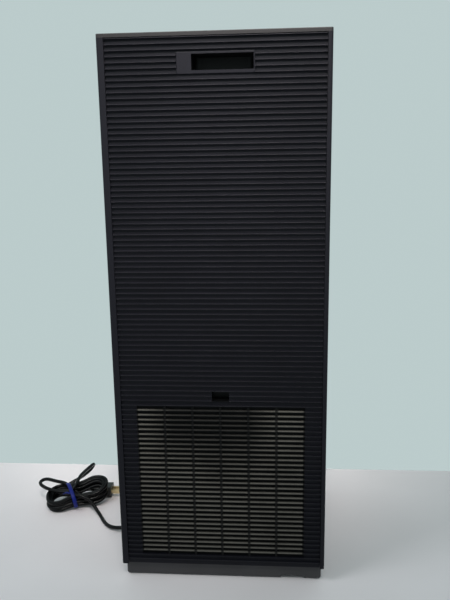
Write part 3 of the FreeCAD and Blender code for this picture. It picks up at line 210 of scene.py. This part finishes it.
# The finish of each CAD part.
WEARS = {
    "shell": "side_panel_right side_panel_left front_panel rear_panel handle_cup rear_cover",
    "cap": "top_cover outlet_flap",
    "plinth": "base_plinth",
    "inner": "floor_pan outlet_grille outlet_duct front_bulkhead filter_housing cover_sockets scroll_front "
             "scroll_rear power_cover cord_clamp interlock_switch dust_sensor sensor_screen pre_filter_frame",
    "fan": "fan_impeller",
    "card": "hepa_frame ioniser_unit",
    "fleece": "hepa_pleats",
    "carbon": "carbon_sheet",
    "ribbon": "filter_tabs",
    "foam": "filter_gasket pre_filter_mesh",
    "rubber": "foot_pads motor_grommets",
    "steel": "plinth_screws scroll_screws motor_screws board_screws motor_shaft motor_rotor motor_stator "
             "motor_bearings motor_bracket flap_pins impeller_nut",
    "alloy": "motor_end_cap",
    "painted": "motor_case",
    "board": "control_board power_board",
    "button": "power_button speed_button mode_button timer_button",
    "lens": "indicator_lens",
    "cord": "cord_lead cord_hank cord_relief",
    "plug": "plug_body",
    "tie": "cord_tie",
    "brass": "plug_blades",
}


# Where the CAD parts that carry two finishes change from one to the other, in metres: the intake window's
# blades, and the painted shade inside the handle cup and the finger recess.
WINDOW_X = (-0.1082, 0.1072)
WINDOW_Z = (0.036, 0.2464)
WINDOW_BACK = 0.1272
GRIP_FRONT = 0.1330
RECESS_X = (-0.0125, 0.0100)
RECESS_Z = (0.2528, 0.2656)
RECESS_FRONT = 0.1326


def dress():
    """Gives every CAD part the finish that WEARS names."""
    for look, names in WEARS.items():
        for name in names.split():
            mesh = nodes[name].data
            mesh.materials.clear()
            mesh.materials.append(LOOKS[look])


def paint_faces(name, look, wanted):
    """Gives another finish to the faces of a CAD part whose centre is wanted; here also the painted shade
    inside the handle cup and the finger recess.
    """
    mesh = nodes[name].data
    mesh.materials.append(LOOKS[look])
    index = len(mesh.materials) - 1
    for face in mesh.polygons:
        if wanted(face.center):
            face.material_index = index


def between(value, limits):
    return limits[0] < value < limits[1]


def in_window(centre):
    """The blades, their rim and the bars of the rear cover's intake window."""
    return between(centre.x, WINDOW_X) and between(centre.z, WINDOW_Z) and centre.y > WINDOW_BACK


def in_grip(centre):
    """Everything in the handle cup that lies behind its bezel; it gets the near-black painted shade."""
    return centre.y < GRIP_FRONT


def in_recess(centre):
    """The finger recess at the lower edge of the rear panel; it gets the near-black painted shade."""
    return between(centre.x, RECESS_X) and between(centre.z, RECESS_Z) and centre.y < RECESS_FRONT


# ---- mains cord -----------------------------------------------------------------------------

CORD_RADIUS = 0.0028

# The cord's points are in millimetres, as the part's own are. LEAD is the stretch along the table.
PER_METRE = 1000
LEAD = [(156, 26, 8.5), (167, 25.2, 7.0), (178, 20.6, 4.9), (188, 12.2, 3.6), (195.8, 1.2, 3.0),
        (202.6, -10.6, 3.1), (208.9, -20.9, 3.6), (215.9, -28.5, 7.0)]
HANK_CENTRE = Vector((252, -57.4, 0))
HANK_TURN = Matrix.Rotation(math.radians(20), 3, "Z")

# Twelve stations round a turn: where its innermost, lowest strand lies, the way out of the loop there,
# and how far apart the rows are.
STATIONS = [
    (-8, 11, 6.5, 0, 1, 1.2), (12, 13, 7, 0, 1, 1.0), (31, 17, 3.6, 0.25, 0.97, 0.8),
    (44, 10, 3.2, 0.9, 0.44, 0.8), (44, -9, 8, 0.9, -0.44, 0.85), (30, -18, 11.5, 0.25, -0.97, 0.9),
    (12, -10, 11, 0, -1, 1.0), (-8, -9, 15, 0, -1, 1.0), (-27, -12, 22.4, -0.25, -0.97, 0.95),
    (-40, -6, 22.4, -0.95, -0.3, 0.95), (-41, 9, 13, -0.9, 0.44, 1.35), (-28, 14, 6.5, -0.25, 0.97, 1.4),
]
# The column and row that each turn starts in, and the steps between columns and between rows.
LAYERS = [(1, 3), (1, 2), (0, 2), (0, 1), (1, 1), (1, 0), (0, 0)]
COLUMN_STEP = 5.8
ROW_STEP = 5.7
# How far a strand wanders sideways and upwards, so that no two turns run quite alike.
WANDER = 0.8
LIFT = 0.5


def on_hank(along, across, height):
    """A point in the hank's own frame, in millimetres."""
    return tuple(HANK_CENTRE + HANK_TURN @ Vector((along, across, height)))


def turn_points(order):
    """One turn of the hank; it drifts from its own layer to the next one's on its way round."""
    here, after = LAYERS[order], LAYERS[min(order + 1, len(LAYERS) - 1)]
    points = []
    for n, (along, across, height, out_along, out_across, spread) in enumerate(STATIONS):
        share = n / len(STATIONS)
        column, row = (a + (b - a) * share for a, b in zip(here, after))
        out = COLUMN_STEP * column + WANDER * math.sin(n * 2.3 + order * 1.9)
        rise = ROW_STEP * spread * row + LIFT * (1 + math.sin(n * 1.7 + order * 2.6))
        points.append(on_hank(along + out_along * out, across + out_across * out, height + rise))
    return points


def cord_route():
    """The whole cord: lead, hank, a stray loop, a doubled end that stands out, and the way to the plug."""
    lead_in = [on_hank(*p) for p in ((-18, 32, 17.5), (-8, 27.5, 24), (2, 24, 27.5), (13, 22, 26))]
    wound = [p for order in range(len(LAYERS)) for p in turn_points(order)][2:]
    stray = [on_hank(*p) for p in (
        (-10, 6, 12), (0, 2, 18), (10, -4, 27), (20, -12, 34), (34, -23, 33.5), (43, -33, 33),
        (49, -39.5, 32), (55.5, -40.5, 31), (60.5, -35, 30), (59, -26, 29), (51, -15.5, 27.5),
        (40, -6.5, 26), (30.5, -0.5, 25.5), (20.5, 4, 25.5), (11, 5.5, 27.5))]
    doubled = [on_hank(*p) for p in (
        (3.5, 0.5, 31), (0, -10, 35.5), (-6, -23, 38.3), (-14.5, -37, 38.3), (-22.5, -49, 38.3),
        (-30.2, -59.9, 38.3), (-31.2, -65.9, 33.9), (-28.2, -68.4, 27.8), (-22.9, -66, 23.4),
        (-16.5, -57.5, 23.4), (-9.5, -49.5, 23))]
    to_plug = [on_hank(*p) for p in (
        (-1, -45, 21), (8.5, -42.5, 18), (16, -41, 15), (22, -36.5, 12.3), (22, -30, 11),
        (15.5, -26, 10.4), (5, -25.2, 10.5), (-5.5, -24.8, 10.5), (-16, -24, 10.5), (-23, -22, 10.5),
        (-28, -20.2, 10.5))]
    return LEAD + lead_in + wound + stray + doubled + to_plug


def mains_cord(band):
    """The cord as one smooth tube, which stands for the CAD lead and hank."""
    curve = bpy.data.curves.new("mains_cord", "CURVE")
    curve.dimensions = "3D"
    curve.bevel_depth = CORD_RADIUS
    curve.bevel_resolution = 5
    curve.resolution_u = 5
    curve.use_fill_caps = True
    route = cord_route()
    spline = curve.splines.new("NURBS")
    spline.points.add(len(route) - 1)
    for point, place in zip(spline.points, route):
        point.co = (*(v / PER_METRE for v in place), 1)
    spline.order_u = 3
    spline.use_endpoint_u = True
    spline.use_smooth = True
    curve.materials.append(LOOKS["cord"])
    cord = bpy.data.objects.new("mains_cord", curve)
    scene.collection.objects.link(cord)
    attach(cord, "housing")
    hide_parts("cord_lead", "cord_hank")


TIE_CENTRE = (11.5, 5, 19.6)
TIE_HALF_WIDTH = 25.4
TIE_HALF_HEIGHT = 17.9
TIE_LEAN_NEAR = 3.6
TIE_LEAN_UP = 3.2
TIE_STEPS = 72
TIE_RIPPLE = 0.25
# The band's section, as pairs of along the hank and out from it, and the middle of its tucked-in end.
TIE_SECTION = [(-3.1, -0.25), (-2.7, 0.35), (-1.3, 0.65), (1.3, 0.65), (2.7, 0.35), (3.1, -0.25),
               (1.6, -0.45), (-1.6, -0.45)]
TIE_TAIL = [(15, 22, 31.5), (18, 19, 32), (21.5, 16.5, 31), (25, 15.5, 28.5)]


def tie_point(turn, grow, shift):
    """A point on the tie's loop: it leans, so that its near side lies further from the lobe's end."""
    near, up = math.cos(turn), math.sin(turn)
    along, across, height = TIE_CENTRE
    return on_hank(along - TIE_LEAN_NEAR * near + TIE_LEAN_UP * up + shift,
                   across + (TIE_HALF_WIDTH + grow) * near,
                   height + (TIE_HALF_HEIGHT + grow) * up)


def add_strip(shape, rings):
    """Joins each ring of points to the next one with four-sided faces."""
    for ring, following in zip(rings, rings[1:]):
        for k in range(len(ring)):
            after = (k + 1) % len(ring)
            shape.faces.new((ring[k], ring[after], following[after], following[k]))


def woven_tie():
    """A flat tie with rounded edges and a raised middle, wound once round the hank, and its tucked-in end."""
    shape = bmesh.new()

    def ring_of(places):
        return [shape.verts.new([v / PER_METRE for v in place]) for place in places]

    loop = []
    for n in range(TIE_STEPS):
        turn = math.tau * n / TIE_STEPS
        ripple = TIE_RIPPLE * math.sin(turn * 5)
        loop.append(ring_of(tie_point(turn, grow + ripple, shift) for shift, grow in TIE_SECTION))
    add_strip(shape, loop + loop[:1])

    tail = []
    for n, place in enumerate(TIE_TAIL):
        x, y, z = on_hank(*place)
        half = 2.4 - 0.35 * n
        corners = ((-0.3, half, -0.4), (0.3, half, 0.4), (0.3, -half, 0.4), (-0.3, -half, -0.4))
        tail.append(ring_of((x + i, y + j, z + k) for i, j, k in corners))
    add_strip(shape, tail)
    shape.faces.new(tail[0][::-1])
    shape.faces.new(tail[-1])

    bmesh.ops.recalc_face_normals(shape, faces=shape.faces)
    mesh = bpy.data.meshes.new("tie_band")
    shape.to_mesh(mesh)
    shape.free()
    mesh.materials.append(LOOKS["tie"])
    for face in mesh.polygons:
        face.use_smooth = True
    band = bpy.data.objects.new("tie_band", mesh)
    scene.collection.objects.link(band)
    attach(band, "housing")
    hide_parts("cord_tie")
    return band


# ---- room -----------------------------------------------------------------------------------

TABLE_SIZE = (3.2, 3.0, 0.02)
TABLE_MIDDLE = (0, 1.3, -0.01)


def staged_table():
    """The pale table; its far edge is just behind the purifier."""
    bpy.ops.mesh.primitive_cube_add(size=1, location=TABLE_MIDDLE)
    table = bpy.context.object
    table.name = "table_top"
    table.scale = TABLE_SIZE
    table.data.materials.append(finish("table", (0.82, 0.76, 0.78), 0.6, mottle=0.02, specular=0.2))


def soft_light(name, place, aim, energy, colour, size, spread=math.pi):
    lamp = bpy.data.lights.new(name, "AREA")
    lamp.energy = energy
    lamp.color = colour
    lamp.size, lamp.spread = size, spread
    item = bpy.data.objects.new(name, lamp)
    item.location = place
    item.rotation_euler = (Vector(aim) - Vector(place)).to_track_quat("-Z", "Y").to_euler()
    scene.collection.objects.link(item)


def lighting():
    """An even pale room, a narrow light on the top of the rear and a window to the side."""
    world = bpy.data.worlds.new("room")
    scene.world = world
    world.use_nodes = True
    back = world.node_tree.nodes["Background"]
    back.inputs["Color"].default_value = (0.50, 0.60, 0.60, 1)
    back.inputs["Strength"].default_value = 1.0
    soft_light("ceiling", place=(-0.10, 0.72, 1.28), aim=(0, 0.13, 0.66), energy=1.3,
               colour=(1.0, 0.94, 0.90), size=0.4, spread=0.6)
    soft_light("window", place=(0.9, 0.7, 1.7), aim=(0.1, 0, 0.1), energy=7,
               colour=(0.95, 0.97, 1.0), size=0.5)


CAMERA_PLACE = (-0.0683, 0.9226, 0.5508)
CAMERA_RIGHT = Vector((-0.99731, -0.07182, -0.01495))
CAMERA_UP = Vector((0.00022, -0.20665, 0.97842))


def camera():
    """Looks at the rear from close by and a little above, so the upright edges draw together downwards."""
    lens = bpy.data.cameras.new("camera")
    lens.lens = 39.65
    lens.sensor_width = 36
    lens.clip_start = 0.02
    item = bpy.data.objects.new("camera", lens)
    turn = Matrix((CAMERA_RIGHT, CAMERA_UP, CAMERA_RIGHT.cross(CAMERA_UP))).transposed().to_4x4()
    item.matrix_world = Matrix.Translation(CAMERA_PLACE) @ turn
    scene.collection.objects.link(item)
    scene.camera = item


dress()
# The intake window: dusty blades, with painted shade between them and a painted shadow at each bar.
paint_faces("rear_cover", "blade", in_window)
# Painted shade inside the handle cup and the finger recess.
paint_faces("handle_cup", "shaded_hollow", in_grip)
paint_faces("rear_panel", "shaded_hollow", in_recess)
mains_cord(woven_tie())
staged_table()
lighting()
camera()
scene.view_settings.view_transform = "Standard"
write_sizes()
